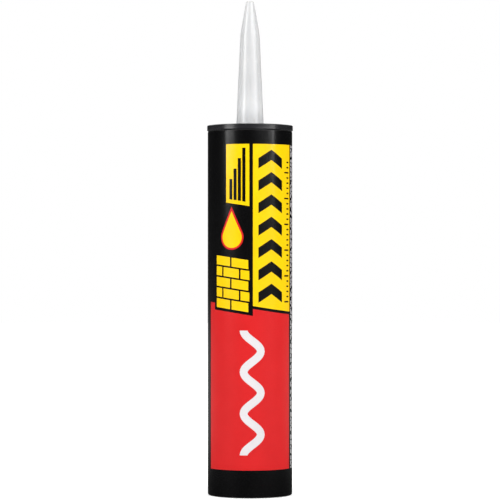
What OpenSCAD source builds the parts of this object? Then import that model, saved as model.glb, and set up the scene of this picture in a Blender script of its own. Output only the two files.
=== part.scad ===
// Caulking-gun cartridge for construction adhesive: a labelled paperboard tube with a moulded end cap,
// a closed tapered nozzle, and a piston in its open tail. It stands on its tail end, front towards -Y.

/* [Tube] */
// Diameter over the printed label
label_od = 49.6; // [44:0.2:60]
// Thickness of the label film
label_t = 0.3; // [0.2:0.05:0.6]
// Wall of the paperboard tube
tube_wall = 1.2; // [0.8:0.1:2]
// Height from the tail end to the top of the end cap's rim
cartridge_h = 216.3; // [190:0.1:300]
// Tube left bare below the label
tail_bare = 0.6; // [0.2:0.1:3]
// Tube left bare between the label and the end cap
head_bare = 0.5; // [0.2:0.1:3]
// Rounding of the tube's outer tail edge
tail_round = 0.2; // [0.1:0.1:0.6]

/* [End cap] */
// How far the rim stands out past the label
rim_proud = 0.4; // [0.1:0.1:1.5]
// Height of the rim above the tube
rim_h = 3.3; // [2.4:0.1:3.9]
// Rounding of the rim's outer top edge
rim_round = 0.4; // [0.3:0.1:1.2]
// Rounding of the rim's inner top edge
rim_inner_round = 0.5; // [0.2:0.1:0.8]
// Height over which the rim's foot draws in
rim_foot = 0.5; // [0.3:0.1:1.2]
// Thickness of the cap's plate
cap_plate_t = 1.8; // [1:0.1:3]
// Depth of the plug below the top of the tube
plug_h = 8; // [5:0.5:14]
// Wall of the plug
plug_wall = 1.5; // [1:0.1:2.5]
// Radial gap between the plug and the tube
plug_clear = 0.05; // [0.02:0.01:0.2]
// Lead-in chamfer at the foot of the plug
plug_chamfer = 0.6; // [0.2:0.1:0.9]

/* [Nozzle] */
// Height of the closed tip above the rim
nozzle_reach = 73.1; // [60:0.1:110]
// Diameter of the flat tip
tip_d = 4.4; // [4:0.1:7]
// Length of the steep cone below the tip
tip_cone_h = 19.1; // [12:0.1:30]
// Diameter at the shoulder, where the two cones meet
shoulder_d = 11.2; // [9:0.1:14]
// Length over which the shoulder is blended
shoulder_blend = 8; // [3:0.5:14]
// Diameter at the floor of the end cap's recess
nozzle_foot_d = 16.4; // [15:0.1:20]
// Wall of the nozzle above its inner step
nozzle_wall = 1.5; // [1.2:0.1:1.8]
// Thinner wall at the nozzle's foot, below the inner step
foot_wall = 1.1; // [0.8:0.1:1.2]
// Height of the inner step above the rim
foot_wall_h = 8; // [3:0.5:20]
// Thickness of the closed tip
tip_t = 1.6; // [1:0.1:3]
// Bevel round the tip
tip_bevel = 0.3; // [0.1:0.1:0.6]
// Diameter of the flange under the cap's plate
flange_d = 23; // [20:0.5:30]
// Thickness of the flange
flange_t = 1.5; // [1:0.1:3]
// Radial gap between the nozzle and the hole in the cap's plate
nozzle_clear = 0.05; // [0.02:0.01:0.2]

/* [Seal] */
// Diameter of the foil disc under the flange
seal_d = 20; // [17:0.5:20]
// Thickness of the foil disc
seal_t = 0.2; // [0.1:0.05:0.5]

/* [Piston] */
// Distance from the tail end to the piston's rear edge
piston_inset = 12; // [4:0.5:30]
// Height of the piston from its rear edge to its nose
piston_h = 17; // [12:0.5:30]
// Thickness of the piston's front wall
piston_front_t = 2.4; // [1.5:0.1:4]
// Wall of the piston's skirt at the lips
piston_wall = 2.2; // [1.8:0.1:3]
// Height of each sealing lip
lip_h = 2.2; // [1:0.1:4]
// Depth of the relief between the lips
lip_relief = 0.6; // [0.2:0.1:0.9]
// Radial gap between the lips and the tube
lip_clear = 0.15; // [0.05:0.01:0.3]
// Height of the nose above the front lip
nose_h = 1.4; // [0.5:0.1:3]
// Radial gap between the nose and the end cap's plug
nose_clear = 0.5; // [0.3:0.1:1]
// Fillet at the bottom of the piston's cup
cup_fillet = 1.2; // [0.5:0.1:2]

/* [Adhesive] */
// Gap between the adhesive and the tube, plug and foil
paste_clear = 0.1; // [0.05:0.05:0.3]
// Gap between the adhesive and the piston
paste_lift = 0.3; // [0.2:0.05:0.5]

/* [Print] */
// Depth of the ink layer in the label's surface
ink_t = 0.12; // [0.05:0.01:0.15]
// Height of the red field's lower edge
red_foot = 16; // [8:0.5:40]
// Height of the red field's slanted edge at the front line
red_head = 105.5; // [90:0.5:120]
// Arc from the front line to the red field's left edge
red_left = 28.9; // [24:0.1:32]
// Arc from the front line to the red field's right edge
red_right = 28.7; // [24:0.1:32]
// Width of the red field's raised left strip
strip_w = 5; // [2:0.1:8]
// Step in the red field's slanted edge, up to the right panel and to the left strip
red_step = 4; // [2:0.1:8]
// Fall of every slanted edge for each millimetre to the right
slant = 0.16; // [0:0.01:0.3]
// Width of the black gaps between the fields
gap_w = 1.7; // [0.8:0.1:3]
// Black band between the yellow fields and the end cap
head_band = 8.5; // [4:0.1:20]
// Right panel: arc from the front line to its right edge
panel_right = 29.3; // [26:0.1:32]
// Left column: inset of its right edge from the front line
column_inset = 0.4; // [0:0.1:1.5]
// Upper left box: arc from the front line to its left edge
box_w = 14.6; // [13:0.1:22]
// Upper left box: its height at its right side
box_h = 36; // [24:0.5:60]

/* [Marks on the print] */
// Number of chevrons in the right panel
chevrons = 7; // [4:1:8]
// Width of a chevron
chevron_w = 16; // [10:0.5:18]
// Height of a chevron's stroke
chevron_stroke = 6; // [3:0.1:8]
// Rise of a chevron from its ends to its middle
chevron_rise = 5; // [2:0.1:8]
// Margin between the right panel's edges and the marks in it
panel_margin = 3.2; // [1:0.1:4]
// Spacing of the ticks beside the chevrons
tick_pitch = 3; // [2:0.1:6]
// Stroke of a tick
tick_stroke = 0.9; // [0.5:0.1:1.5]
// Length of a long tick
tick_w = 4.6; // [2:0.1:6]
// Number of rising bars in the upper left box
bars = 4; // [3:1:5]
// Width of a rising bar
bar_w = 1.9; // [1:0.1:2.4]
// Growth from one bar to the next
bar_growth = 6; // [2:0.5:8]
// Margin round the bars
bar_margin = 2.2; // [1:0.1:3]
// Courses in the brick patch
courses = 5; // [3:1:6]
// Width of a brick
brick_w = 10; // [6:0.5:14]
// Height of a brick
brick_h = 5.2; // [3:0.1:7]
// Joint between the bricks
joint_w = 1; // [0.5:0.1:2]
// Width of the brick patch
patch_w = 22; // [14:0.5:24]
// Radius of the drop's round end
drop_r = 6.2; // [3:0.1:7]
// Height from the drop's round centre to its point
drop_h = 15; // [9:0.5:18]
// Width of the outline round the drop
drop_line = 1.1; // [0.5:0.1:1.6]
// Width of the white bead line
bead_w = 4.6; // [2:0.1:5.6]
// Sideways swing of the bead line's middle
bead_swing = 10; // [4:0.2:12]
// Rise of each stroke of the bead line
bead_rise = 12; // [11:0.5:16]
// Place of the bead line to the right of the front line
bead_shift = 1.3; // [-6:0.1:6]
// Least margin between the bead line and the red field's ends
bead_margin = 8; // [4:0.5:12]
// Lines of fine print beside the right panel
fine_lines = 3; // [1:1:4]
// Width of a line of fine print
fine_w = 0.9; // [0.5:0.1:1.4]
// Spacing of the lines of fine print
fine_pitch = 2; // [1.5:0.1:3]
// Longest dash of fine print
fine_dash = 12; // [6:0.5:24]
// Space between dashes of fine print
fine_gap = 1.6; // [0.8:0.1:4]

/* [Hidden] */
$fn = 192;
// Cutters run this far past what they cut
over = 1;

// Tube
label_r = label_od / 2;
tube_r = label_r - label_t;
bore_r = tube_r - tube_wall;
tube_h = cartridge_h - rim_h;
ink_r = label_r - ink_t;

// End cap
rim_r = label_r + rim_proud;
plug_r = bore_r - plug_clear;
plug_bore_r = plug_r - plug_wall;
plate_z = tube_h - cap_plate_t;
plug_z = tube_h - plug_h;

// Nozzle, measured up from the tail end
tip_z = cartridge_h + nozzle_reach;
tip_r = tip_d / 2;
shoulder_z = tip_z - tip_cone_h;
shoulder_r = shoulder_d / 2;
foot_r = nozzle_foot_d / 2;
flange_r = flange_d / 2;
flange_z = plate_z - flange_t;
seal_z = flange_z - seal_t;
step_z = cartridge_h + foot_wall_h;
tip_taper = (shoulder_r - tip_r) / tip_cone_h;
foot_taper = (foot_r - shoulder_r) / (shoulder_z - tube_h);
neck_r = foot_r + foot_taper * cap_plate_t;
cap_hole_r = neck_r + nozzle_clear;
blend_steps = 6;

// Piston, measured up from the tail end
piston_z = piston_inset;
nose_z = piston_z + piston_h;
front_lip_z = nose_z - nose_h;
lip_r = bore_r - lip_clear;
land_r = lip_r - lip_relief;
nose_r = plug_bore_r - nose_clear;
cup_r = lip_r - piston_wall;
cup_z = nose_z - piston_front_t;

// Adhesive
paste_r = bore_r - paste_clear;
paste_neck_r = plug_bore_r - paste_clear;
paste_nose_r = nose_r + paste_lift;

// Where an arc along the label lies across the front view
function across(arc) = label_r * sin(arc / label_r * 180 / PI);
// Angle of an arc along the label from the front line
function turn_of(arc) = arc / label_r * 180 / PI;
// A point of the front view on an edge that falls to the right
function fall(arc, z) = [across(arc), z - slant * across(arc)];
// A point of the front view
function flat(arc, z) = [across(arc), z];
// A curve from a to c that leaves and arrives along the lines through b
function blend(a, b, c) = [
  for (i = [0:blend_steps])
    let (t = i / blend_steps)
      (1 - t) * (1 - t) * a + 2 * t * (1 - t) * b + t * t * c
];

// What is cut away to round an outer corner at the origin, with its material below and to the left
module corner_cut(radius) {
  difference() {
    translate([-radius, -radius]) square(radius + over);
    translate([-radius, -radius]) circle(radius);
  }
}

// Ring of the label film between two radii
module film(inner_r, outer_r) {
  rotate_extrude()
    translate([inner_r, tail_bare])
      square([outer_r - inner_r, tube_h - head_bare - tail_bare]);
}

// Ink layer in the shape of an outline that is drawn as seen from the front, or from an arc to the side
module ink(depth_out = 0, arc = 0) {
  intersection() {
    film(ink_r, label_r + depth_out);
    rotate([0, 0, turn_of(arc)])
      rotate([90, 0, 0])
        linear_extrude(height = label_r + over)
          children();
  }
}

// Tube
module barrel() {
  color("#15120f")
    rotate_extrude()
      difference() {
        translate([bore_r, 0]) square([tube_wall, tube_h]);
        translate([tube_r, 0]) mirror([0, 1]) corner_cut(tail_round);
      }
}

// Label and its print
yellow_head = tube_h - head_band;
panel_left = gap_w;
panel_foot = red_head + red_step + gap_w;
box_foot = yellow_head - box_h;
box_left = -box_w;

module red_field() {
  polygon([
    flat(-red_left, red_foot),
    flat(red_right, red_foot),
    fall(red_right, red_head + red_step),
    fall(panel_left, red_head + red_step),
    fall(panel_left, red_head),
    fall(strip_w - red_left, red_head),
    fall(strip_w - red_left, red_head + red_step),
    fall(-red_left, red_head + red_step)
  ]);
}

module yellow_panel() {
  polygon([
    fall(panel_left, panel_foot),
    fall(panel_right, panel_foot),
    flat(panel_right, yellow_head),
    flat(panel_left, yellow_head)
  ]);
}

// Chevrons point up the tube, along the flow
chevron_left = panel_left + panel_margin;
chevron_right = chevron_left + chevron_w;
chevron_mid = (chevron_left + chevron_right) / 2;
chevron_first = panel_foot + panel_margin / 2;
chevron_last = yellow_head - panel_margin - chevron_rise - chevron_stroke;
chevron_pitch = (chevron_last - chevron_first) / (chevrons - 1);

module chevron(z) {
  polygon([
    flat(chevron_left, z),
    flat(chevron_mid, z + chevron_rise),
    flat(chevron_right, z),
    flat(chevron_right, z + chevron_stroke),
    flat(chevron_mid, z + chevron_rise + chevron_stroke),
    flat(chevron_left, z + chevron_stroke)
  ]);
}

// Every fifth tick beside the chevrons is long
tick_right = panel_right - panel_margin / 2;
ticks = floor((chevron_last - chevron_first + chevron_stroke) / tick_pitch);

module tick(i) {
  tick_left = tick_right - (i % 5 == 0 ? tick_w : tick_w / 2);
  z = chevron_first + i * tick_pitch;
  polygon([
    flat(tick_left, z),
    flat(tick_right, z),
    flat(tick_right, z + tick_stroke),
    flat(tick_left, z + tick_stroke)
  ]);
}

module yellow_box() {
  polygon([
    fall(box_left, box_foot),
    fall(-column_inset, box_foot),
    flat(-column_inset, yellow_head),
    flat(box_left, yellow_head)
  ]);
}

// Bars that rise step by step from left to right
bar_pitch = (box_w - column_inset - 2 * bar_margin - bar_w) / (bars - 1);
bar_full = yellow_head - 2 * bar_margin - box_foot;

module bar(i) {
  bar_left = box_left + bar_margin + i * bar_pitch;
  bar_foot = box_foot + bar_margin;
  bar_head = bar_foot + bar_full - (bars - 1 - i) * bar_growth;
  polygon([
    fall(bar_left, bar_foot),
    fall(bar_left + bar_w, bar_foot),
    flat(bar_left + bar_w, bar_head),
    flat(bar_left, bar_head)
  ]);
}

// Bricks in running bond, each course shifted by half a brick
patch_foot = red_head + gap_w;
course_pitch = brick_h + joint_w;

module brick(left, right, z) {
  polygon([
    fall(left, z),
    fall(right, z),
    fall(right, z + brick_h),
    fall(left, z + brick_h)
  ]);
}

module brick_patch() {
  for (course = [0:courses - 1])
    for (i = [-1:ceil(patch_w / (brick_w + joint_w))]) {
      shift = course % 2 * (brick_w + joint_w) / 2;
      left = max(-patch_w, i * (brick_w + joint_w) - patch_w + shift);
      right = min(-column_inset, i * (brick_w + joint_w) - patch_w + shift + brick_w);
      if (right - left > joint_w) brick(left, right, patch_foot + course * course_pitch);
    }
}

// A drop with its point up, centred on the left column
drop_arc = -patch_w / 2;
patch_head = patch_foot + courses * course_pitch - slant * across(drop_arc);
drop_z = (patch_head + box_foot - slant * across(drop_arc)) / 2 - (drop_h - drop_r) / 2;
outline_r = drop_r + drop_line;
outline_h = drop_h * outline_r / drop_r;

module drop(radius, height) {
  tangent = acos(radius / height);
  translate([0, drop_z]) {
    circle(radius);
    polygon([
      [0, height],
      [-radius * sin(tangent), radius * cos(tangent)],
      [radius * sin(tangent), radius * cos(tangent)]
    ]);
  }
}

// A laid bead that snakes up the red field, its edges a constant distance from its middle line
red_h = red_head - red_foot;
bead_strokes = floor((red_h - 2 * bead_margin) / bead_rise);
bead_z = red_foot + (red_h - bead_strokes * bead_rise) / 2;
bead_steps = 8;

function bead_middle(t) = [bead_shift - bead_swing / 2 * cos(180 * t), bead_z + bead_rise * t];
function bead_lean(t) = bead_swing / 2 * PI * sin(180 * t) / bead_rise;
function bead_edge(t, side) =
  bead_middle(t) + side * bead_w / 2 * [1, -bead_lean(t)] / norm([1, bead_lean(t)]);

module bead_line() {
  last = bead_strokes * bead_steps;
  polygon(concat(
    [for (i = [0:last]) bead_edge(i / bead_steps, 1)],
    [for (i = [last:-1:0]) bead_edge(i / bead_steps, -1)]
  ));
}

// Lines of fine print that run up the tube, with dashes of uneven length
fine_first = panel_right + fine_pitch;
fine_run = yellow_head - red_foot;
fine_dashes = ceil(fine_run / (fine_gap + fine_dash / 5));

function dash_length(line, i) = fine_dash * (0.6 + 0.4 * sin(97 * line + 61 * i));
function dash_start(line, i) = i == 0 ? 0 : dash_start(line, i - 1) + dash_length(line, i - 1) + fine_gap;

module fine_print(depth_out = 0) {
  for (line = [0:fine_lines - 1])
    for (i = [0:fine_dashes - 1]) {
      start = dash_start(line, i);
      length = min(dash_length(line, i), fine_run - start);
      if (length > fine_w)
        rotate([0, 0, turn_of(fine_first + line * fine_pitch) - 90])
          rotate_extrude(angle = turn_of(fine_w))
            translate([ink_r, red_foot + start])
              square([ink_t + depth_out, length]);
    }
}

module yellow_ink(depth_out = 0) {
  ink(depth_out)
    difference() {
      yellow_panel();
      for (i = [0:chevrons - 1]) chevron(chevron_first + i * chevron_pitch);
      for (i = [0:ticks]) tick(i);
    }
  ink(depth_out)
    difference() {
      yellow_box();
      for (i = [0:bars - 1]) bar(i);
    }
  ink(depth_out) brick_patch();
}

// The film's own black shows wherever no ink lies
module label() {
  color("#101010")
    difference() {
      film(tube_r, label_r);
      ink(over) red_field();
      ink(over, drop_arc) drop(outline_r, outline_h);
      yellow_ink(over);
      fine_print(over);
    }
}

module print_red() {
  color("#e03030") {
    ink()
      difference() {
        red_field();
        bead_line();
      }
    ink(0, drop_arc)
      difference() {
        drop(outline_r, outline_h);
        drop(drop_r, drop_h);
      }
  }
}

module print_yellow() {
  color("#ffe10c") {
    yellow_ink();
    ink(0, drop_arc) drop(drop_r, drop_h);
  }
}

module print_white() {
  color("#f4f2f2") {
    ink() bead_line();
    fine_print();
  }
}

// End cap: rim, plate and plug in one moulding
module end_cap() {
  color("#26262a")
    rotate_extrude()
      difference() {
        union() {
          translate([plug_bore_r, tube_h]) square([rim_r - plug_bore_r, rim_h]);
          translate([cap_hole_r, plate_z]) square([plug_r - cap_hole_r, cap_plate_t]);
          translate([plug_bore_r, plug_z]) square([plug_wall, plug_h]);
        }
        translate([rim_r, cartridge_h]) corner_cut(rim_round);
        translate([plug_bore_r, cartridge_h]) mirror([1, 0]) corner_cut(rim_inner_round);
        polygon([
          [label_r, tube_h - over],
          [label_r, tube_h],
          [rim_r, tube_h + rim_foot],
          [rim_r + over, tube_h + rim_foot],
          [rim_r + over, tube_h - over]
        ]);
        polygon([
          [plug_r - plug_chamfer, plug_z],
          [plug_r, plug_z + plug_chamfer],
          [plug_r + over, plug_z],
          [plug_r, plug_z - over]
        ]);
      }
}

// Side of the nozzle from the recess floor up past the shoulder, drawn in by the given wall
function nozzle_side(wall) = concat(
  [[foot_r - wall, tube_h]],
  blend(
    [shoulder_r + foot_taper * shoulder_blend / 2 - wall, shoulder_z - shoulder_blend / 2],
    [shoulder_r - wall, shoulder_z],
    [shoulder_r - tip_taper * shoulder_blend / 2 - wall, shoulder_z + shoulder_blend / 2]
  )
);

module nozzle() {
  passage_top = tip_z - tip_t;
  step_r = foot_r - foot_taper * (step_z - tube_h);
  color("#e9e9e9")
    rotate_extrude()
      difference() {
        polygon(concat(
          [[0, flange_z], [flange_r, flange_z], [flange_r, plate_z], [neck_r, plate_z]],
          nozzle_side(0),
          [[tip_r + tip_taper * tip_bevel, tip_z - tip_bevel], [tip_r - tip_bevel, tip_z], [0, tip_z]]
        ));
        polygon(concat(
          [[0, flange_z - over], [neck_r - foot_wall, flange_z - over], [neck_r - foot_wall, plate_z]],
          [[step_r - foot_wall, step_z], [step_r - nozzle_wall, step_z]],
          [for (p = nozzle_side(nozzle_wall)) if (p[1] > step_z) p],
          [[tip_r + tip_taper * tip_t - nozzle_wall, passage_top], [0, passage_top]]
        ));
      }
}

module seal_foil() {
  color("silver")
    translate([0, 0, seal_z])
      cylinder(h = seal_t, r = seal_d / 2);
}

// Paste between the piston and the foil, drawn in where the plug narrows the tube
module adhesive() {
  lip_top = front_lip_z + paste_lift;
  nose_top = nose_z + paste_lift;
  neck_z = plug_z - paste_clear;
  color("#d9c9a3")
    rotate_extrude()
      polygon([
        [0, nose_top],
        [paste_nose_r, nose_top],
        [paste_nose_r, lip_top],
        [paste_r, lip_top],
        [paste_r, neck_z],
        [paste_neck_r, neck_z],
        [paste_neck_r, seal_z - paste_clear],
        [0, seal_z - paste_clear]
      ]);
}

// Cup with its open side to the tail, a lip at each end and a nose that enters the end cap's plug
module piston() {
  color("#e6e2d6")
    rotate_extrude()
      difference() {
        union() {
          translate([0, piston_z]) square([land_r, front_lip_z - piston_z]);
          translate([0, piston_z]) square([lip_r, lip_h]);
          translate([0, front_lip_z - lip_h]) square([lip_r, lip_h]);
          translate([0, front_lip_z]) square([nose_r, nose_h]);
        }
        translate([0, piston_z - over]) square([cup_r - cup_fillet, cup_z - piston_z + over]);
        translate([0, piston_z - over]) square([cup_r, cup_z - cup_fillet - piston_z + over]);
        translate([cup_r - cup_fillet, cup_z - cup_fillet]) circle(cup_fillet);
      }
}

barrel();
label();
print_red();
print_yellow();
print_white();
end_cap();
nozzle();
seal_foil();
adhesive();
piston();
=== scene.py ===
"""Looks of a construction adhesive cartridge: a labelled board tube with its end cap, nozzle and piston."""
import math

import bmesh
import bpy
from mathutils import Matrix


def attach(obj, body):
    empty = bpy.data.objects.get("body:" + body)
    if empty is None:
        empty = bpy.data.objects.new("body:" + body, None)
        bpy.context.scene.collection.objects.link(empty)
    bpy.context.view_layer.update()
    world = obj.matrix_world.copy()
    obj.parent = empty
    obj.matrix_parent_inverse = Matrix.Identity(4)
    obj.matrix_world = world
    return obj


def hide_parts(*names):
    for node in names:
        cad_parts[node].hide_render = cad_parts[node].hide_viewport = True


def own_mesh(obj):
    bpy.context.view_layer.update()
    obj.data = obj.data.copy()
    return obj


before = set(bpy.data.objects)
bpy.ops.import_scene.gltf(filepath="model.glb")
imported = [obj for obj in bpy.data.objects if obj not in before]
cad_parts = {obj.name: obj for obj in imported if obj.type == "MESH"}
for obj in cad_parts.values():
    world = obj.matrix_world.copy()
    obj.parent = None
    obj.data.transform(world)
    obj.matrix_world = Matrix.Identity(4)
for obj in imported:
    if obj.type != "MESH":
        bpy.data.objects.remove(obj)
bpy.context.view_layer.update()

MM = 0.001

# Sizes in mm, as in the part's source
LABEL_R = 24.8
TUBE_R = 24.5
BORE_R = 23.3
TUBE_H = 213.0
CARTRIDGE_H = 216.3
RIM_R = 25.2
PLUG_R = 23.25
PLUG_BORE_R = 21.75
PLATE_Z = 211.2
PLUG_Z = 205.0
HOLE_R = 8.332
NECK_R = 8.282
FOOT_R = 8.2
TIP_Z = 289.4
TIP_R = 2.2
SHOULDER_Z = 270.3
SHOULDER_R = 5.6
STEP_Z = 224.3
FOIL_FOOT = 209.5
FOIL_HEAD = 209.7
PASTE_FOOT = 29.3
PASTE_HEAD = 209.4
LABEL_FOOT = 0.6
LABEL_HEAD = 212.5
YELLOW_HEAD = 204.5
PANEL_FOOT = 111.2
BRICK_FOOT = 107.2
COLUMN_RIGHT = -0.4
RED_FOOT = 16.0
BEAD_FOOT = 24.75
RED_HEAD = 105.5
SLANT = 0.16

# Places across the label, as arcs round it from the middle of the front, + to the right
RED_LEFT = -28.9
STRIP_RIGHT = -23.9
RED_RIGHT = 28.7
PANEL_LEFT = 1.7
PANEL_RIGHT = 29.3
BOX_LEFT = -14.6
BOX_FOOT = 168.5
# How far the red stands higher beside the brick patch and the panel
RED_RISE = 4.0
# An arc on each side that takes in the whole front
FRONT = 38.0

# The drop of print on the left column, its round and its point above that round's middle, and its outline's
DROP_ARC = -11.0
DROP_Z = 150.65
DROP_R = 6.2
DROP_POINT = 15.0
OUTLINE_R = 7.3
OUTLINE_POINT = 17.66

# The bricks of print under the drop
BRICK_LEFT = -22.0
BRICK_W = 10.0
BRICK_PITCH = 11.0
BRICK_H = 5.2
COURSE = 6.2

# The black marks: chevrons, ticks, and the rising bars with their margin in the box
MARKS_FOOT = PANEL_FOOT + 1.6
CHEVRON_LEFT = 4.9
CHEVRON_RIGHT = 20.9
CHEVRON_H = 6.0
CHEVRON_RISE = 5.0
CHEVRON_PITCH = 12.917
TICK_RIGHT = 27.7
TICK_PITCH = 3.0
TICK_H = 0.9
BAR_MARGIN = 2.2
BAR_W = 1.9
BAR_PITCH = 2.633
BAR_RISE = 6.0

# The white bead: its middle line swings across once in each stroke
BEAD_MIDDLE = 1.3
BEAD_SWING = 5.0
BEAD_STROKE = 12.0
BEAD_STROKES = 6
BEAD_W = 4.6

# The fine print: lines up the tube, of phrases made of words
LINES_LEFT = 31.3
LINE_PITCH = 2.0
LINE_W = 0.9
PHRASE = 12.0
PHRASE_GAP = 1.6
WORD_GAP = 0.55

# Walls of the nozzle at its foot and above the inner step, and the flange under the plate
FOOT_WALL = 1.1
HEAD_WALL = 1.5
FLANGE_R = 11.5

# The paste, a hair clear of the tube
PASTE_R = 23.2

# The piston: its rear edge, its nose and the floor of its cup, and the radii of its lips and its body
PISTON_TAIL = 12.0
PISTON_NOSE = 29.0
CUP_FLOOR = 26.6
LIP_R = 23.15
BODY_R = 22.55

# Radii of the layers of print on the film, each a hair proud of the one below
COLOUR_R = 24.83
OVERPRINT_R = 24.86
INK_T = 0.05
# Width of the flat columns that a wrapped layer is bent along
COLUMN = 1.2


# Modelling


def put_down():
    """Leaves edit mode with nothing selected, so that an operator acts on one piece only."""
    if bpy.context.mode != "OBJECT":
        bpy.ops.object.mode_set(mode="OBJECT")
    bpy.ops.object.select_all(action="DESELECT")


def pick_up(piece):
    put_down()
    piece.select_set(True)
    bpy.context.view_layer.objects.active = piece


def start(name):
    """An empty mesh at the origin, open for editing."""
    put_down()
    bpy.ops.mesh.primitive_plane_add(size=MM, enter_editmode=True)
    piece = bpy.context.object
    piece.name = name
    piece.data.name = name
    bpy.ops.mesh.delete(type="VERT")
    return piece


def choose(piece, kind, test):
    """Selects the vertices, edges or faces whose middle, in mm, passes the test."""
    bpy.ops.mesh.select_mode(type=kind)
    bpy.ops.mesh.select_all(action="DESELECT")
    mesh = bmesh.from_edit_mesh(piece.data)
    parts = {"VERT": mesh.verts, "EDGE": mesh.edges, "FACE": mesh.faces}[kind]
    for part in parts:
        if kind == "VERT":
            middle = part.co
        elif kind == "EDGE":
            middle = (part.verts[0].co + part.verts[1].co) / 2
        else:
            middle = part.calc_center_median()
        if test(*(middle / MM)):
            part.select_set(True)
    mesh.select_flush_mode()
    bmesh.update_edit_mesh(piece.data)
    bpy.ops.mesh.select_mode(type="VERT")


def move(x=0.0, y=0.0, z=0.0):
    bpy.ops.transform.translate(value=(x * MM, y * MM, z * MM))


def arc(centre_r, centre_z, radius, first, last, steps=6):
    """Points of a round in an outline, from one angle to another in degrees, 0 outwards and 90 up."""
    points = []
    for i in range(steps + 1):
        angle = math.radians(first + (last - first) * i / steps)
        points.append((centre_r + radius * math.cos(angle), centre_z + radius * math.sin(angle)))
    return points


def turn(name, outline, steps=256):
    """A turned body. One point is drawn along the outline of radii and heights, and the line is spun round
    +Z."""
    piece = start(name)
    bpy.ops.mesh.primitive_plane_add(size=MM)
    bpy.ops.mesh.merge(type="CENTER")
    move(outline[0][0], 0, outline[0][1])
    for here, there in zip(outline, outline[1:]):
        step = ((there[0] - here[0]) * MM, 0, (there[1] - here[1]) * MM)
        bpy.ops.mesh.extrude_vertices_move(TRANSFORM_OT_translate={"value": step})
    bpy.ops.mesh.select_all(action="SELECT")
    bpy.ops.mesh.spin(steps=steps, angle=2 * math.pi, center=(0, 0, 0), axis=(0, 0, 1))
    bpy.ops.mesh.select_all(action="SELECT")
    bpy.ops.mesh.remove_doubles(threshold=0.001 * MM)
    bpy.ops.mesh.normals_make_consistent(inside=False)
    return piece


def patch(left, right, foot, head, columns=None):
    """Adds a flat patch to the open mesh, between two arcs and two heights, its face towards -Y."""
    if columns is None:
        columns = max(1, round((right - left) / COLUMN))
    middle = ((left + right) / 2 * MM, 0, (foot + head) / 2 * MM)
    bpy.ops.mesh.primitive_grid_add(x_subdivisions=columns, y_subdivisions=1, size=MM, location=middle,
                                    rotation=(math.pi / 2, 0, 0))
    bpy.ops.transform.resize(value=(right - left, 1, head - foot), center_override=middle)


def columns(left, right):
    """Cuts the whole open mesh along upright lines, so that it can bend round the tube."""
    for i in range(1, math.ceil((right - left) / COLUMN)):
        bpy.ops.mesh.select_all(action="SELECT")
        bpy.ops.mesh.bisect(plane_co=((left + i * COLUMN) * MM, 0, 0), plane_no=(1, 0, 0))


def wrap(piece, radius):
    """Bends a flat piece round the tube, so that its face lies at the given radius."""
    bpy.ops.mesh.select_all(action="SELECT")
    move(y=LABEL_R - radius)
    bpy.ops.object.mode_set(mode="OBJECT")
    across = [v.co.x for v in piece.data.vertices]
    bend = piece.modifiers.new("round the tube", "SIMPLE_DEFORM")
    bend.deform_method = "BEND"
    bend.deform_axis = "Z"
    bend.angle = (max(across) - min(across)) / (LABEL_R * MM)
    bpy.ops.object.modifier_apply(modifier=bend.name)
    bpy.ops.object.mode_set(mode="EDIT")
    bpy.ops.mesh.select_all(action="SELECT")
    move(y=-LABEL_R)


def trim(piece, height, keep, left=-FRONT, right=FRONT):
    """Cuts what lies between two arcs along an edge that falls to the right, as seen from the front. It
    keeps what is above the edge, what is below it, or both."""
    low = LABEL_R * math.sin(left / LABEL_R)
    high = LABEL_R * math.sin(right / LABEL_R)
    choose(piece, "FACE", lambda x, y, z: low < x < high)
    bpy.ops.mesh.bisect(plane_co=(0, 0, height * MM), plane_no=(SLANT, 0, 1), clear_inner=keep == "above",
                        clear_outer=keep == "below")


def thicken(piece, thickness=INK_T):
    """Joins the patches of a wrapped piece where they meet, and gives it its thickness inwards."""
    bpy.ops.mesh.select_all(action="SELECT")
    bpy.ops.mesh.remove_doubles(threshold=0.005 * MM)
    bpy.ops.object.mode_set(mode="OBJECT")
    wall = piece.modifiers.new("thickness", "SOLIDIFY")
    wall.thickness = thickness * MM
    wall.offset = -1
    bpy.ops.object.modifier_apply(modifier=wall.name)


def join(piece, *others):
    pick_up(piece)
    for other in others:
        other.select_set(True)
    bpy.ops.object.join()


def soften(piece, width, segments=2, angle=35):
    """Rounds every edge that is sharper than the angle, as a mould or a blade leaves it."""
    pick_up(piece)
    edge = piece.modifiers.new("softened edges", "BEVEL")
    edge.width = width * MM
    edge.segments = segments
    edge.limit_method = "ANGLE"
    edge.angle_limit = math.radians(angle)
    bpy.ops.object.modifier_apply(modifier=edge.name)


def dress(piece, material, nodes, body="cartridge", angle=32):
    """Shades a finished piece, and gives it its finish, the nodes it stands for and the body it rides on."""
    pick_up(piece)
    bpy.ops.object.shade_smooth_by_angle(angle=math.radians(angle))
    # Broad faces set the shading, so that a rounded edge doesn't tint the wall beside it
    even = piece.modifiers.new("broad faces lead", "WEIGHTED_NORMAL")
    even.keep_sharp = True
    bpy.ops.object.modifier_apply(modifier=even.name)
    if not piece.data.materials:
        piece.data.materials.append(material)
    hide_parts(*nodes)
    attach(piece, body)
    put_down()


# Finishes


def paint(code):
    """An sRGB hex colour as the linear colour that the shaders use."""
    levels = [int(code[i:i + 2], 16) / 255 for i in (1, 3, 5)]
    linear = [c / 12.92 if c <= 0.04045 else ((c + 0.055) / 1.055) ** 2.4 for c in levels]
    return (*linear, 1)


def add(tree, kind, sockets=None, **settings):
    """Adds a node with its settings. A socket takes a value, or the output that is linked to it."""
    made = tree.nodes.new("ShaderNode" + kind)
    for name, value in settings.items():
        setattr(made, name, value)
    for key, value in (sockets or {}).items():
        if isinstance(value, bpy.types.NodeSocket):
            tree.links.new(value, made.inputs[key])
        else:
            made.inputs[key].default_value = value
    return made


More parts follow.
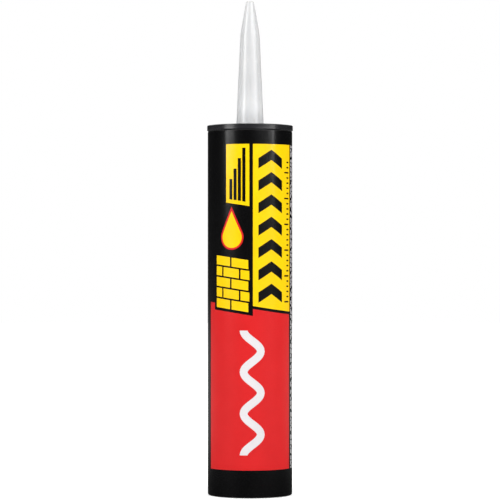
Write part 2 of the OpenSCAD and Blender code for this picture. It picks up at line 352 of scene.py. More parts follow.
def finish(name):
    """A new material with a place to read patterns from: the piece's own coordinates, in metres."""
    material = bpy.data.materials.new(name)
    material.use_nodes = True
    tree = material.node_tree
    tree.nodes.clear()
    place = add(tree, "TexCoord").outputs["Object"]
    return material, tree, place


def show(tree, shader):
    add(tree, "OutputMaterial", {"Surface": shader.outputs[0]})


def grain(size):
    """The scale at which a pattern repeats about every so many mm."""
    return 1000 / size


def printed_film(name, light, dark, roughness=0.17):
    """Reverse-printed polypropylene film. The ink lies under one gloss laminate, so every colour shares its
    shine. The ink's density clouds slightly over centimetres. The film ripples over the board and carries
    fine orange peel, so reflections wobble a little, and handling lays a faint haze over the shine."""
    material, tree, place = finish(name)
    cloud = add(tree, "TexNoise", {"Vector": place, "Scale": grain(14), "Detail": 3.0, "Roughness": 0.55})
    dots = add(tree, "TexNoise", {"Vector": place, "Scale": grain(0.45), "Detail": 1.0})
    density = add(tree, "Math", {0: cloud.outputs["Fac"], 1: dots.outputs["Fac"]}, operation="MULTIPLY")
    spread = add(tree, "MapRange", {"Value": density.outputs[0], "From Min": 0.12, "From Max": 0.42})
    ink = add(tree, "Mix", {"Factor": spread.outputs[0], 6: paint(dark), 7: paint(light)}, data_type="RGBA")
    rub = add(tree, "TexNoise", {"Vector": place, "Scale": grain(5), "Detail": 6.0, "Roughness": 0.7})
    shine = add(tree, "MapRange", {"Value": rub.outputs["Fac"], "To Min": roughness - 0.04,
                                   "To Max": roughness + 0.06})
    long_way = add(tree, "Mapping", {"Vector": place, "Scale": (1.0, 1.0, 0.3)})
    ripple = add(tree, "TexNoise", {"Vector": long_way.outputs[0], "Scale": grain(9), "Detail": 1.0})
    peel = add(tree, "TexNoise", {"Vector": place, "Scale": grain(0.7), "Detail": 1.0})
    broad = add(tree, "Bump", {"Strength": 0.3, "Distance": 0.00003, "Height": ripple.outputs["Fac"]})
    fine = add(tree, "Bump", {"Strength": 0.15, "Distance": 0.000006, "Height": peel.outputs["Fac"],
                              "Normal": broad.outputs[0]})
    film = add(tree, "BsdfPrincipled", {"Base Color": ink.outputs[2], "Roughness": shine.outputs[0],
                                        "IOR": 1.49, "Coat Weight": 0.12, "Coat Roughness": 0.4,
                                        "Normal": fine.outputs[0]})
    show(tree, film)
    return material


film_black = printed_film("printed polypropylene film, black", "#070708", "#040405")
film_red = printed_film("printed polypropylene film, red ink", "#dc2224", "#d51f21")
film_yellow = printed_film("printed polypropylene film, yellow ink", "#fed503", "#fbcc00")
film_white = printed_film("printed polypropylene film, white ink", "#e7e4e6", "#dedadd")
film_overprint = printed_film("printed polypropylene film, black overprint", "#0b0b0b", "#070707")


def moulded_black():
    """Injection-moulded polypropylene, black. The spark-eroded mould leaves a fine even grain and a satin
    shine, the plastic's flow leaves faint cloudy marks, and handling rubs the grain brighter in places."""
    material, tree, place = finish("moulded polypropylene, black")
    flow = add(tree, "TexNoise", {"Vector": place, "Scale": grain(11), "Detail": 4.0, "Distortion": 0.6})
    tone = add(tree, "Mix", {"Factor": flow.outputs["Fac"], 6: paint("#1d1d1f"), 7: paint("#29292c")},
               data_type="RGBA")
    rub = add(tree, "TexNoise", {"Vector": place, "Scale": grain(3), "Detail": 8.0, "Roughness": 0.75})
    shine = add(tree, "MapRange", {"Value": rub.outputs["Fac"], "From Min": 0.3, "From Max": 0.7,
                                   "To Min": 0.19, "To Max": 0.27})
    # The flat top is left matt by the grain, and the rim's side is smoother
    up = add(tree, "SeparateXYZ", {"Vector": add(tree, "NewGeometry").outputs["Normal"]})
    matt = add(tree, "MapRange", {"Value": up.outputs["Z"], "From Min": 0.85, "From Max": 0.98,
                                  "To Min": 0.0, "To Max": 0.45})
    shine = add(tree, "Math", {0: shine.outputs[0], 1: matt.outputs[0]})
    spark = add(tree, "TexVoronoi", {"Vector": place, "Scale": grain(0.3)})
    relief = add(tree, "Bump", {"Strength": 0.25, "Distance": 0.00002, "Height": spark.outputs["Distance"]})
    cap = add(tree, "BsdfPrincipled", {"Base Color": tone.outputs[2], "Roughness": shine.outputs[0],
                                       "IOR": 1.49, "Normal": relief.outputs[0]})
    show(tree, cap)
    return material


def moulded_natural(name, light, dark, cloudy, roughness, foot=0.0, head=0.0, painted_tip_shade=1.0):
    """Natural polyethylene, injection moulded. It is milky, and light enters it and spreads, so its edges
    glow. From foot to head its colour is painted darker, a painted shade that greys the upper part as if
    less light fell there. Faint draw lines run along the mould's pull, and the surface is waxy."""
    material, tree, place = finish(name)
    milk = add(tree, "TexNoise", {"Vector": place, "Scale": grain(cloudy), "Detail": 3.0, "Distortion": 0.4})
    tone = add(tree, "Mix", {"Factor": milk.outputs["Fac"], 6: paint(dark), 7: paint(light)},
               data_type="RGBA")
    axes = add(tree, "SeparateXYZ", {"Vector": place})
    # Painted shade: the colour darkens from the foot up to the head, down to the given share of itself
    depth = add(tree, "MapRange", {"Value": axes.outputs["Z"], "From Min": foot * MM,
                                   "From Max": (head + 1) * MM, "To Min": 1.0, "To Max": painted_tip_shade},
                interpolation_type="SMOOTHSTEP")
    tone = add(tree, "VectorMath", {0: tone.outputs[2], "Scale": depth.outputs[0]}, operation="SCALE")
    pull = add(tree, "Mapping", {"Vector": place, "Scale": (1.0, 1.0, 0.02)})
    lines = add(tree, "TexNoise", {"Vector": pull.outputs[0], "Scale": grain(0.8), "Detail": 4.0})
    wax = add(tree, "TexNoise", {"Vector": place, "Scale": grain(2), "Detail": 5.0})
    shine = add(tree, "MapRange", {"Value": wax.outputs["Fac"], "From Min": 0.3, "From Max": 0.7,
                                   "To Min": roughness - 0.05, "To Max": roughness + 0.06})
    relief = add(tree, "Bump", {"Strength": 0.3, "Distance": 0.00002, "Height": lines.outputs["Fac"]})
    plastic = add(tree, "BsdfPrincipled", {
        "Base Color": tone.outputs[0], "Roughness": shine.outputs[0], "IOR": 1.51,
        "Subsurface Weight": 0.6, "Subsurface Radius": (1.0, 0.95, 0.9), "Subsurface Scale": 0.004,
        "Normal": relief.outputs[0]})
    show(tree, plastic)
    return material


def wound_board(name, light, dark, seam, roughness):
    """Spiral-wound paperboard. Each ply is a strip wound at an angle, so a fine joint climbs the tube in a
    screw line, and short fibres lie along the strip."""
    material, tree, place = finish(name)
    axes = add(tree, "SeparateXYZ", {"Vector": place})
    turned = add(tree, "Math", {0: axes.outputs["Y"], 1: axes.outputs["X"]}, operation="ARCTAN2")
    share = add(tree, "Math", {0: turned.outputs[0], 1: 2 * math.pi}, operation="DIVIDE")
    # The strip climbs 68 mm in a turn
    climb = add(tree, "Math", {0: axes.outputs["Z"], 1: 0.068}, operation="DIVIDE")
    screw = add(tree, "Math", {0: climb.outputs[0], 1: share.outputs[0]}, operation="SUBTRACT")
    phase = add(tree, "Math", {0: screw.outputs[0], 1: 1.0, 2: 0.0}, operation="WRAP")
    # The joint is about 0.6 mm wide
    joint = add(tree, "MapRange", {"Value": phase.outputs[0], "From Min": 0.0, "From Max": 0.009,
                                   "To Min": 1.0, "To Max": 0.0}, interpolation_type="SMOOTHSTEP")
    along = add(tree, "CombineXYZ", {"X": screw.outputs[0], "Y": share.outputs[0], "Z": climb.outputs[0]})
    strip = add(tree, "Mapping", {"Vector": along.outputs[0], "Scale": (0.068, 0.03, 0.03)})
    fibre = add(tree, "TexNoise", {"Vector": strip.outputs[0], "Scale": grain(0.35), "Detail": 4.0,
                                   "Roughness": 0.6})
    tone = add(tree, "Mix", {"Factor": fibre.outputs["Fac"], 6: paint(dark), 7: paint(light)},
               data_type="RGBA")
    jointed = add(tree, "Mix", {"Factor": joint.outputs[0], 6: tone.outputs[2], 7: paint(seam)},
                  data_type="RGBA")
    fuzz = add(tree, "Bump", {"Strength": 0.4, "Distance": 0.00003, "Height": fibre.outputs["Fac"]})
    step = add(tree, "Bump", {"Strength": 0.8, "Distance": 0.00008, "Height": joint.outputs[0],
                              "Normal": fuzz.outputs[0]}, invert=True)
    board = add(tree, "BsdfPrincipled", {"Base Color": jointed.outputs[2], "Roughness": roughness,
                                         "IOR": 1.45, "Normal": step.outputs[0]})
    show(tree, board)
    return material


def cut_board():
    """The cut end of wound board. It shows its plies as thin rings 0.3 mm apart, with fuzzy fibre ends."""
    material, tree, place = finish("wound board, cut end")
    axes = add(tree, "SeparateXYZ", {"Vector": place})
    flat = add(tree, "CombineXYZ", {"X": axes.outputs["X"], "Y": axes.outputs["Y"]})
    radius = add(tree, "VectorMath", {0: flat.outputs[0]}, operation="LENGTH")
    plies = add(tree, "Math", {0: radius.outputs["Value"], 1: 2 * math.pi / 0.0003}, operation="MULTIPLY")
    wave = add(tree, "Math", {0: plies.outputs[0]}, operation="SINE")
    fuzz = add(tree, "TexNoise", {"Vector": place, "Scale": grain(0.4), "Detail": 5.0})
    both = add(tree, "Math", {0: wave.outputs[0], 1: 0.3, 2: fuzz.outputs["Fac"]}, operation="MULTIPLY_ADD")
    tone = add(tree, "MapRange", {"Value": both.outputs[0], "From Min": 0.1, "From Max": 0.9})
    colour = add(tree, "Mix", {"Factor": tone.outputs[0], 6: paint("#3a2f24"), 7: paint("#85705a")},
                 data_type="RGBA")
    relief = add(tree, "Bump", {"Strength": 0.6, "Distance": 0.00006, "Height": both.outputs[0]})
    board = add(tree, "BsdfPrincipled", {"Base Color": colour.outputs[2], "Roughness": 0.85, "IOR": 1.45,
                                         "Normal": relief.outputs[0]})
    show(tree, board)
    return material


def sealing_foil():
    """Aluminium foil, heat-sealed. It is bright with small creases, and rolled lines run across it."""
    material, tree, place = finish("aluminium sealing foil")
    crease = add(tree, "TexVoronoi", {"Vector": place, "Scale": grain(2.2)}, feature="DISTANCE_TO_EDGE")
    rolled = add(tree, "Mapping", {"Vector": place, "Scale": (1.0, 0.05, 1.0)})
    lines = add(tree, "TexNoise", {"Vector": rolled.outputs[0], "Scale": grain(0.2), "Detail": 3.0})
    tone = add(tree, "Mix", {"Factor": lines.outputs["Fac"], 6: paint("#c3c4c6"), 7: paint("#e3e4e5")},
               data_type="RGBA")
    shine = add(tree, "MapRange", {"Value": lines.outputs["Fac"], "To Min": 0.22, "To Max": 0.4})
    folds = add(tree, "Bump", {"Strength": 0.7, "Distance": 0.00015, "Height": crease.outputs["Distance"]})
    foil = add(tree, "BsdfPrincipled", {"Base Color": tone.outputs[2], "Metallic": 1.0,
                                        "Roughness": shine.outputs[0], "Normal": folds.outputs[0]})
    show(tree, foil)
    return material


def wet_paste():
    """Uncured polyurethane paste, filled with chalk. It is thick and tan, glossy where it has been pressed
    smooth, with fine filler specks and soft swirls from filling."""
    material, tree, place = finish("uncured adhesive paste")
    swirl = add(tree, "TexNoise", {"Vector": place, "Scale": grain(9), "Detail": 4.0, "Distortion": 2.5})
    speck = add(tree, "TexNoise", {"Vector": place, "Scale": grain(0.5), "Detail": 2.0})
    blend = add(tree, "Math", {0: speck.outputs["Fac"], 1: 0.3, 2: swirl.outputs["Fac"]},
                operation="MULTIPLY_ADD")
    tone = add(tree, "MapRange", {"Value": blend.outputs[0], "From Min": 0.35, "From Max": 0.95})
    colour = add(tree, "Mix", {"Factor": tone.outputs[0], 6: paint("#bfa67c"), 7: paint("#dccaa4")},
                 data_type="RGBA")
    relief = add(tree, "Bump", {"Strength": 0.5, "Distance": 0.0003, "Height": blend.outputs[0]})
    paste = add(tree, "BsdfPrincipled", {"Base Color": colour.outputs[2], "Roughness": 0.28, "IOR": 1.48,
                                         "Subsurface Weight": 0.15, "Subsurface Scale": 0.001,
                                         "Normal": relief.outputs[0]})
    show(tree, paste)
    return material


cap_black = moulded_black()
# The nozzle's colour carries painted shade, darker from 222 mm up, 0.79 of its tone from 241 mm to the tip
nozzle_milk = moulded_natural("natural low-density polyethylene", "#eeeeee", "#e5e6e7", 8, 0.22, 222, 240,
                              0.79)
piston_milk = moulded_natural("natural polyethylene, piston", "#ece8dd", "#ddd8ca", 14, 0.42)
board_face = wound_board("wound board, black face paper", "#12100e", "#0b0a09", "#060505", 0.6)
board_liner = wound_board("wound board, kraft liner", "#b89368", "#93714b", "#5f4830", 0.8)
board_end = cut_board()
foil_bright = sealing_foil()
paste_tan = wet_paste()


# Tube: a wound board wall, its tail edge rolled in, its faces lined


tube = turn("tube", [
    (BORE_R, 0.15), (BORE_R + 0.15, 0),
    *arc(TUBE_R - 0.2, 0.2, 0.2, -90, 0, 5),
    (TUBE_R, 3), (TUBE_R, TUBE_H - 0.15), (TUBE_R - 0.15, TUBE_H), (BORE_R + 0.15, TUBE_H),
    (BORE_R, TUBE_H - 0.15), (BORE_R, 0.15)])
for board in (board_face, board_liner, board_end):
    tube.data.materials.append(board)


def in_bore(x, y, z):
    return math.hypot(x, y) < BORE_R + 0.01


def on_cut_end(x, y, z):
    return (z < 0.1 or z > TUBE_H - 0.1) and BORE_R + 0.01 < math.hypot(x, y) < TUBE_R - 0.2


for index, test in ((1, in_bore), (2, on_cut_end)):
    choose(tube, "FACE", test)
    tube.active_material_index = index
    bpy.ops.object.material_slot_assign()
bpy.ops.object.mode_set(mode="OBJECT")
dress(tube, board_face, ["barrel"])


# Label film: one sheet round the tube, lapped over itself at the back


half = math.pi * LABEL_R
film = start("label_film")
patch(-half, half, LABEL_FOOT, LABEL_HEAD, columns=256)
wrap(film, LABEL_R)
thicken(film, 0.3)
soften(film, 0.06, 2, 50)

lap = start("film_lap")
patch(half - 1.6, half + 5.2, LABEL_FOOT + 0.02, LABEL_HEAD - 0.02, columns=12)
choose(lap, "VERT", lambda x, y, z: x < half - 1.2)
move(y=0.1)
wrap(lap, LABEL_R + 0.07)
thicken(lap, 0.08)
join(film, lap)
dress(film, film_black, ["label"])


# Red: the field with its raised left strip and right side, and the drop's outline


def drop(name, radius, point, radial):
    """A drop of print, drawn from a circle whose upper part is drawn out to a point."""
    piece = start(name)
    bpy.ops.mesh.primitive_circle_add(vertices=64, radius=radius * MM, fill_type="NGON",
                                      location=(DROP_ARC * MM, 0, DROP_Z * MM), rotation=(math.pi / 2, 0, 0))
    choose(piece, "VERT", lambda x, y, z: z > DROP_Z + radius * radius / point + 0.1)
    bpy.ops.mesh.merge(type="CENTER")
    choose(piece, "VERT", lambda x, y, z: z > DROP_Z + radius * radius / point + 0.1)
    top = [v.co.z / MM for v in bmesh.from_edit_mesh(piece.data).verts if v.select][0]
    move(z=DROP_Z + point - top)
    columns(DROP_ARC - radius, DROP_ARC + radius)
    wrap(piece, radial)
    thicken(piece)
    return piece


red = start("red_print")
for left, right in ((RED_LEFT, STRIP_RIGHT), (STRIP_RIGHT, PANEL_LEFT), (PANEL_LEFT, RED_RIGHT)):
    patch(left, right, RED_FOOT, RED_HEAD + 12)
wrap(red, COLOUR_R)
trim(red, RED_HEAD + RED_RISE, "below", -FRONT, STRIP_RIGHT)
trim(red, RED_HEAD + RED_RISE, "below", PANEL_LEFT, FRONT)
trim(red, RED_HEAD, "both")
trim(red, RED_HEAD, "below", STRIP_RIGHT, PANEL_LEFT)
thicken(red)
join(red, drop("drop_outline", OUTLINE_R, OUTLINE_POINT, COLOUR_R))
dress(red, film_red, ["print_red"])


# Yellow: the right panel, the upper left box, the brick patch and the drop


yellow = start("yellow_print")
patch(PANEL_LEFT, PANEL_RIGHT, PANEL_FOOT - 13.2, YELLOW_HEAD)
wrap(yellow, COLOUR_R)
trim(yellow, PANEL_FOOT, "above")
thicken(yellow)

box = start("yellow_box")
patch(BOX_LEFT, COLUMN_RIGHT, BOX_FOOT - 8.5, YELLOW_HEAD)
wrap(box, COLOUR_R)
trim(box, BOX_FOOT, "above")
thicken(box)

bricks = []
for course in range(5):
    shift = course % 2 * BRICK_PITCH / 2
    foot = BRICK_FOOT + course * COURSE
    wall = start("brick_course_%d" % course)
    for i in range(-1, 3):
        edge = BRICK_LEFT + i * BRICK_PITCH + shift
        left = max(BRICK_LEFT, edge)
        right = min(COLUMN_RIGHT, edge + BRICK_W)
        if right - left > 1:
            patch(left, right, foot - 7.2, foot + 10.8)
    wrap(wall, COLOUR_R)
    trim(wall, foot, "above")
    trim(wall, foot + BRICK_H, "below")
    thicken(wall)
    bricks.append(wall)

join(yellow, box, drop("yellow_drop", DROP_R, DROP_POINT, OVERPRINT_R), *bricks)
dress(yellow, film_yellow, ["print_yellow"])


# Black overprint on the yellow: chevrons that point along the flow, ticks and rising bars


marks = start("black_overprint")
for i in range(7):
    foot = MARKS_FOOT + i * CHEVRON_PITCH
    patch(CHEVRON_LEFT, CHEVRON_RIGHT, foot, foot + CHEVRON_H, columns=2)
choose(marks, "VERT", lambda x, y, z: abs(x - (CHEVRON_LEFT + CHEVRON_RIGHT) / 2) < 0.1)
move(z=CHEVRON_RISE)
columns(CHEVRON_LEFT, CHEVRON_RIGHT)
for i in range(28):
    foot = MARKS_FOOT + i * TICK_PITCH
    length = 4.6 if i % 5 == 0 else 2.3
    patch(TICK_RIGHT - length, TICK_RIGHT, foot, foot + TICK_H)
wrap(marks, OVERPRINT_R)
thicken(marks)

bars = start("rising_bars")
for i in range(4):
    left = BOX_LEFT + BAR_MARGIN + i * BAR_PITCH
    patch(left, left + BAR_W, BOX_FOOT - 3.5, YELLOW_HEAD - BAR_MARGIN - (3 - i) * BAR_RISE)
wrap(bars, OVERPRINT_R)
trim(bars, BOX_FOOT + BAR_MARGIN, "above")
thicken(bars)
join(marks, bars)
dress(marks, film_overprint, ["label"])


# White: the bead that snakes up the red field, and lines of fine print in word-like dashes


def bead_edge(t):
    """Middle and lean of the bead at stroke t, in mm and radians."""
    middle = (BEAD_MIDDLE - BEAD_SWING * math.cos(math.pi * t), BEAD_FOOT + BEAD_STROKE * t)
    lean = math.atan(BEAD_SWING * math.pi * math.sin(math.pi * t) / BEAD_STROKE)
    return middle, lean


white = start("white_print")
bpy.ops.mesh.primitive_plane_add(
    size=BEAD_W * MM, rotation=(math.pi / 2, 0, 0),
    location=((BEAD_MIDDLE - BEAD_SWING) * MM, 0, (BEAD_FOOT + BEAD_W / 2) * MM))
choose(white, "VERT", lambda x, y, z: z > BEAD_FOOT + 1)
bpy.ops.mesh.delete(type="VERT")
choose(white, "VERT", lambda x, y, z: True)
(x, z), lean = bead_edge(0)
STEPS = 72
for i in range(1, STEPS + 1):
    (nx, nz), next_lean = bead_edge(BEAD_STROKES * i / STEPS)
    bpy.ops.mesh.extrude_edges_move(TRANSFORM_OT_translate={"value": ((nx - x) * MM, 0, (nz - z) * MM)})
    bpy.ops.transform.rotate(value=lean - next_lean, orient_axis="Y", center_override=(nx * MM, 0, nz * MM))
    x, z, lean = nx, nz, next_lean
columns(BEAD_MIDDLE - 7.8, BEAD_MIDDLE + 7.8)
wrap(white, OVERPRINT_R)
bpy.ops.mesh.select_all(action="SELECT")
bpy.ops.mesh.normals_make_consistent(inside=False)
thicken(white)

words = start("fine_print")
for line in range(3):
    left = LINES_LEFT + line * LINE_PITCH
    z = RED_FOOT
    i = 0
    while z < YELLOW_HEAD - 1:
        length = PHRASE * (0.6 + 0.4 * math.sin(math.radians(97 * line + 61 * i)))
        end = min(z + length, YELLOW_HEAD)
        word = z
        k = 0
        while word < end - 0.6:
            span = min(1.3 + 1.5 * abs(math.sin(2.1 * k + i + line)), end - word)
            patch(left, left + LINE_W, word, word + span, columns=1)
            word += span + WORD_GAP
            k += 1
        z += length + PHRASE_GAP
        i += 1
wrap(words, COLOUR_R)
thicken(words)
join(white, words)
dress(white, film_white, ["print_white"])


# End cap: rim, recess floor with a collar round the nozzle, and the plug below


cap = turn("end_cap_moulding", [
    (PLUG_BORE_R, PLUG_Z), (PLUG_R - 0.6, PLUG_Z), (PLUG_R, PLUG_Z + 0.6), (PLUG_R, TUBE_H),
    (LABEL_R - 0.1, TUBE_H), (LABEL_R - 0.1, TUBE_H + 0.35), (RIM_R - 0.08, TUBE_H + 0.42),
    (RIM_R, TUBE_H + 0.5), (RIM_R, TUBE_H + 0.62), (RIM_R - 0.05, TUBE_H + 0.85),
    *arc(RIM_R - 0.5, CARTRIDGE_H - 0.45, 0.45, 4, 90, 8),
    *arc(PLUG_BORE_R + 0.5, CARTRIDGE_H - 0.5, 0.5, 90, 180, 5),
    *arc(PLUG_BORE_R - 0.5, TUBE_H + 0.5, 0.5, 0, -90, 5),
    (19.6, TUBE_H), (19.4, TUBE_H - 0.15), (18.9, TUBE_H - 0.15), (18.7, TUBE_H),
    (11.1, TUBE_H), (10.9, TUBE_H + 0.35), (10.7, TUBE_H + 0.42), (9.3, TUBE_H + 0.42), (9.1, TUBE_H + 0.35),
    (9.0, TUBE_H), (8.4, TUBE_H), (HOLE_R, TUBE_H - 0.07), (HOLE_R, PLATE_Z), (PLUG_BORE_R, PLATE_Z),
    (PLUG_BORE_R, PLUG_Z)])
# Three round marks where the mould's ejector pins pushed
for i in range(3):
    angle = math.radians(30 + 120 * i)
    bpy.ops.mesh.primitive_circle_add(vertices=40, radius=1.5 * MM, fill_type="NGON",
                                      location=(15 * MM * math.cos(angle), 15 * MM * math.sin(angle),
                                                (TUBE_H - 0.05) * MM))
    bpy.ops.mesh.extrude_region_move(TRANSFORM_OT_translate={"value": (0, 0, 0.13 * MM)})
    bpy.ops.mesh.inset(thickness=0.25 * MM)
    bpy.ops.mesh.inset(thickness=0.08 * MM)
    move(z=-0.06)
bpy.ops.object.mode_set(mode="OBJECT")
soften(cap, 0.05, 2, 50)
dress(cap, cap_black, ["end_cap"], angle=40)


# Nozzle: two cones blended at the shoulder, a closed tip, an inner step and a flange under the plate


TIP_TAPER = (SHOULDER_R - TIP_R) / (TIP_Z - SHOULDER_Z)
FOOT_TAPER = (FOOT_R - SHOULDER_R) / (SHOULDER_Z - TUBE_H)


def nozzle_side(wall, steps=12):
    """The blended shoulder of the nozzle, drawn in by the wall."""
    ends = ((SHOULDER_R + FOOT_TAPER * 4 - wall, SHOULDER_Z - 4), (SHOULDER_R - wall, SHOULDER_Z),
            (SHOULDER_R - TIP_TAPER * 4 - wall, SHOULDER_Z + 4))
    points = []
    for i in range(steps + 1):
        t = i / steps
        points.append(tuple((1 - t) ** 2 * a + 2 * t * (1 - t) * b + t * t * c for a, b, c in zip(*ends)))
    return points


step_r = FOOT_R - FOOT_TAPER * (STEP_Z - TUBE_H)
nozzle = turn("nozzle_moulding", [
    (0, TIP_Z - 0.2), (0.55, TIP_Z - 0.2), (0.75, TIP_Z), (TIP_R - 0.3, TIP_Z), (TIP_R - 0.06, TIP_Z - 0.1),
    (TIP_R + TIP_TAPER * 0.35, TIP_Z - 0.35),
    *reversed(nozzle_side(0)),
    (FOOT_R, TUBE_H), (NECK_R, PLATE_Z), (FLANGE_R - 0.1, PLATE_Z), (FLANGE_R, PLATE_Z - 0.1),
    (FLANGE_R, FOIL_HEAD + 0.1), (FLANGE_R - 0.1, FOIL_HEAD), (NECK_R - FOOT_WALL, FOIL_HEAD),
    (NECK_R - FOOT_WALL, PLATE_Z), (step_r - FOOT_WALL, STEP_Z), (step_r - HEAD_WALL, STEP_Z + 0.3),
    *nozzle_side(HEAD_WALL),
    (TIP_R + TIP_TAPER * 1.6 - HEAD_WALL, TIP_Z - 1.9), (0.9, TIP_Z - 1.6), (0, TIP_Z - 1.6)])
bpy.ops.object.mode_set(mode="OBJECT")
dress(nozzle, nozzle_milk, ["nozzle"], angle=40)


# Seal: a foil disc with an embossed ring where it is welded to the flange


seal = turn("seal_disc", [
    (0, FOIL_FOOT), (9.9, FOIL_FOOT), (10, FOIL_FOOT + 0.05), (10, FOIL_HEAD - 0.05), (9.9, FOIL_HEAD),
    (9.2, FOIL_HEAD), (9.0, FOIL_HEAD - 0.06), (8.2, FOIL_HEAD - 0.06), (8.0, FOIL_HEAD), (0, FOIL_HEAD)])
bpy.ops.object.mode_set(mode="OBJECT")
dress(seal, foil_bright, ["seal_foil"], angle=40)


# Paste: fills the tube ahead of the piston, and gets a mesh of its own


paste = turn("paste_fill", [
    (0, PASTE_FOOT), (21.25, PASTE_FOOT), *arc(21.25, PASTE_FOOT - 0.3, 0.3, 90, 0, 3),
    (21.55, PASTE_FOOT - 1.35), (21.7, PASTE_FOOT - 1.4), (PASTE_R - 0.2, PASTE_FOOT - 1.4),
    (PASTE_R, PASTE_FOOT - 1.2), (PASTE_R, PLUG_Z - 0.4), (PASTE_R - 0.25, PLUG_Z - 0.1),
    (21.9, PLUG_Z - 0.1), (21.65, PLUG_Z + 0.1), (21.65, PASTE_HEAD - 0.2), (21.45, PASTE_HEAD),
    (0, PASTE_HEAD)])
bpy.ops.object.mode_set(mode="OBJECT")
dress(paste, paste_tan, ["adhesive"], angle=40)
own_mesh(paste)


# Piston: a cup open to the tail, a lip at each end, a nose in front, and a gate dimple in its floor


piston = turn("piston_cup", [
    (0, PISTON_NOSE), (20.9, PISTON_NOSE), *arc(20.9, PISTON_NOSE - 0.35, 0.35, 90, 0, 4),
    (21.25, PISTON_NOSE - 1.25), (21.4, PISTON_NOSE - 1.4), (LIP_R - 0.2, PISTON_NOSE - 1.4),
    (LIP_R, PISTON_NOSE - 1.65), (LIP_R, PISTON_NOSE - 2.6), (LIP_R - 0.2, PISTON_NOSE - 3.5),
    (BODY_R + 0.1, PISTON_NOSE - 3.6), (BODY_R, PISTON_NOSE - 3.75), (BODY_R, PISTON_TAIL + 2.35),
    (BODY_R + 0.1, PISTON_TAIL + 2.2), (LIP_R - 0.2, PISTON_TAIL + 2.1), (LIP_R, PISTON_TAIL + 1.2),
    (LIP_R, PISTON_TAIL + 0.2), (LIP_R - 0.2, PISTON_TAIL), (21.2, PISTON_TAIL), (20.95, PISTON_TAIL + 0.25),
    *arc(19.75, CUP_FLOOR - 1.2, 1.2, 0, 90, 7),
    (17.2, CUP_FLOOR), (17.05, CUP_FLOOR + 0.15), (16.65, CUP_FLOOR + 0.15), (16.5, CUP_FLOOR),
    (12.2, CUP_FLOOR), (12.05, CUP_FLOOR + 0.15), (11.65, CUP_FLOOR + 0.15), (11.5, CUP_FLOOR),
    (3.1, CUP_FLOOR), (2.8, CUP_FLOOR + 0.45), (1.3, CUP_FLOOR + 0.5), (1.2, CUP_FLOOR + 0.15),
    (1.05, CUP_FLOOR + 0.08), (0, CUP_FLOOR + 0.08)])
bpy.ops.object.mode_set(mode="OBJECT")
dress(piston, piston_milk, ["piston"], body="plunger", angle=40)


# Stage: a white floor and a white room for the camera, and a dimmer studio for gloss


put_down()
bpy.ops.mesh.primitive_circle_add(vertices=96, radius=4, fill_type="NGON", location=(0, 0, -0.0002))
floor = bpy.context.object
floor.name = "floor"
material, tree, place = finish("white paper floor")
rays = add(tree, "LightPath")
seen = add(tree, "Math", {0: rays.outputs["Is Camera Ray"], 1: rays.outputs["Is Transmission Ray"]},
           operation="MAXIMUM")
tooth = add(tree, "TexNoise", {"Vector": place, "Scale": grain(1.5), "Detail": 3.0})
paper = add(tree, "Mix", {"Factor": tooth.outputs["Fac"], 6: paint("#f1f1f1"), 7: paint("#f6f6f6")},
            data_type="RGBA")
matt = add(tree, "BsdfDiffuse", {"Color": paper.outputs[2]})
# White all over but near the cartridge, where the paper shows its soft shadow
far = add(tree, "VectorMath", {0: place}, operation="LENGTH")
level = add(tree, "MapRange", {"Value": far.outputs["Value"], "From Min": 0.15, "From Max": 0.6,
                               "To Min": 0.45, "To Max": 1.0}, interpolation_type="SMOOTHSTEP")
glow = add(tree, "Math", {0: seen.outputs[0], 1: level.outputs[0]}, operation="MULTIPLY")
lift = add(tree, "Emission", {"Color": (1, 1, 1, 1), "Strength": glow.outputs[0]})
both = add(tree, "AddShader", {0: matt.outputs[0], 1: lift.outputs[0]})
# Gloss sees a dim patch near the cartridge, and lit paper further out, brightest behind it
axes = add(tree, "SeparateXYZ", {"Vector": place})
depth = add(tree, "MapRange", {"Value": axes.outputs["Y"], "From Min": -0.1, "From Max": 0.3,
                               "To Min": 0.15, "To Max": 0.27})
lit = add(tree, "MapRange", {"Value": far.outputs["Value"], "From Min": 0.1, "From Max": 0.6,
                             "To Min": 0.04, "To Max": depth.outputs[0]})
mirrored = add(tree, "Emission", {"Color": (1, 1, 1, 1), "Strength": lit.outputs[0]})
both = add(tree, "MixShader", {0: rays.outputs["Is Glossy Ray"], 1: both.outputs[0], 2: mirrored.outputs[0]})
show(tree, both)
floor.data.materials.append(material)

world = bpy.data.worlds.new("white room")
bpy.context.scene.world = world
world.use_nodes = True
sky = world.node_tree
sky.nodes.clear()
rays = add(sky, "LightPath")
# Gloss sees the white backdrop straight behind the object, a pale ceiling, and a dim studio round it
way = add(sky, "SeparateXYZ", {"Vector": add(sky, "TexCoord").outputs["Generated"]})
behind = add(sky, "MapRange", {"Value": way.outputs["Y"], "From Min": 0.99, "From Max": 1.0,
                               "To Min": 0.02, "To Max": 0.08})
ceiling = add(sky, "MapRange", {"Value": way.outputs["Z"], "From Min": 0.6, "From Max": 0.95,
                                "To Min": 0.02, "To Max": 0.3})
round_it = add(sky, "Math", {0: behind.outputs[0], 1: ceiling.outputs[0]}, operation="MAXIMUM")
mirrored = add(sky, "Math", {0: rays.outputs["Is Glossy Ray"], 1: round_it.outputs[0]}, operation="MULTIPLY")
plain = add(sky, "Math", {0: rays.outputs["Is Camera Ray"], 1: rays.outputs["Is Transmission Ray"]},
            operation="MAXIMUM")
shown = add(sky, "Math", {0: mirrored.outputs[0], 1: plain.outputs[0]}, operation="MAXIMUM")
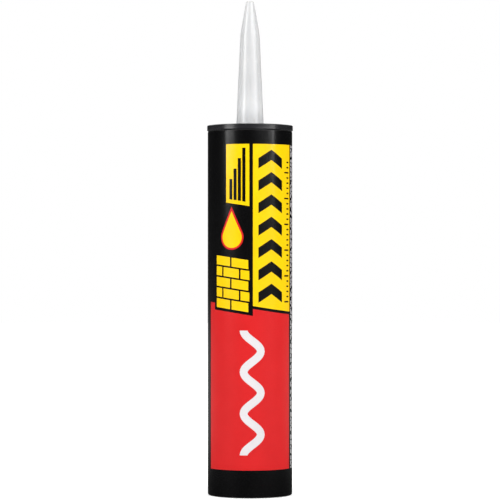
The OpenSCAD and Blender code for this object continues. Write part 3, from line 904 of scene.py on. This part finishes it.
# The backdrop lights the far side most
far_side = add(sky, "MapRange", {"Value": way.outputs["Y"], "From Min": 0.2, "From Max": 0.8,
                                 "To Min": 0.1, "To Max": 0.6})
fill = add(sky, "Math", {0: rays.outputs["Is Diffuse Ray"], 1: far_side.outputs[0]}, operation="MULTIPLY")
level = add(sky, "Math", {0: shown.outputs[0], 1: fill.outputs[0]}, operation="MAXIMUM")
room = add(sky, "Background", {"Color": (1, 1, 1, 1), "Strength": level.outputs[0]})
add(sky, "OutputWorld", {"Surface": room.outputs[0]})


def lamp(name, azimuth, foot, distance, width, height, radiance, lean=0, roll=0):
    """A soft box that leans over the cartridge. Azimuth is from the camera, + to its right, and foot is how
    high above the horizon its lower edge stands, as seen from the top of the tube, in degrees."""
    light = bpy.data.lights.new(name, "AREA")
    light.shape = "RECTANGLE"
    light.size = width
    light.size_y = height
    light.energy = math.pi * width * height * radiance
    box = bpy.data.objects.new(name, light)
    bpy.context.scene.collection.objects.link(box)
    around, tilt = math.radians(azimuth), math.radians(lean)
    rise = 0.21 + distance * math.tan(math.radians(foot)) + height / 2 * math.cos(tilt)
    box.location = (distance * math.sin(around), -distance * math.cos(around), rise)
    box.rotation_euler = (math.pi / 2 - tilt, math.radians(roll), around)


lamp("left soft box", -58, 5.2, 1.3, 0.65, 1.0, 7.1, lean=14, roll=-7)
lamp("right soft box", 44, 10, 1.3, 1.45, 0.75, 5.5, lean=14, roll=14)
lamp("back left soft box", -142, 26, 1.3, 0.8, 0.8, 3.4, lean=40)
lamp("back right soft box", 148, 26, 1.3, 0.8, 0.8, 3.4, lean=40)

# A long lens, level with the middle of the cartridge
camera_data = bpy.data.cameras.new("camera")
camera_data.lens = 166.7
camera_data.sensor_width = 36
camera_data.shift_y = 0.03
camera = bpy.data.objects.new("camera", camera_data)
bpy.context.scene.collection.objects.link(camera)
camera.location = (0, -1.360, 0.1346)
camera.rotation_euler = (math.pi / 2, 0, 0)
bpy.context.scene.camera = camera
bpy.context.scene.view_settings.view_transform = "Standard"
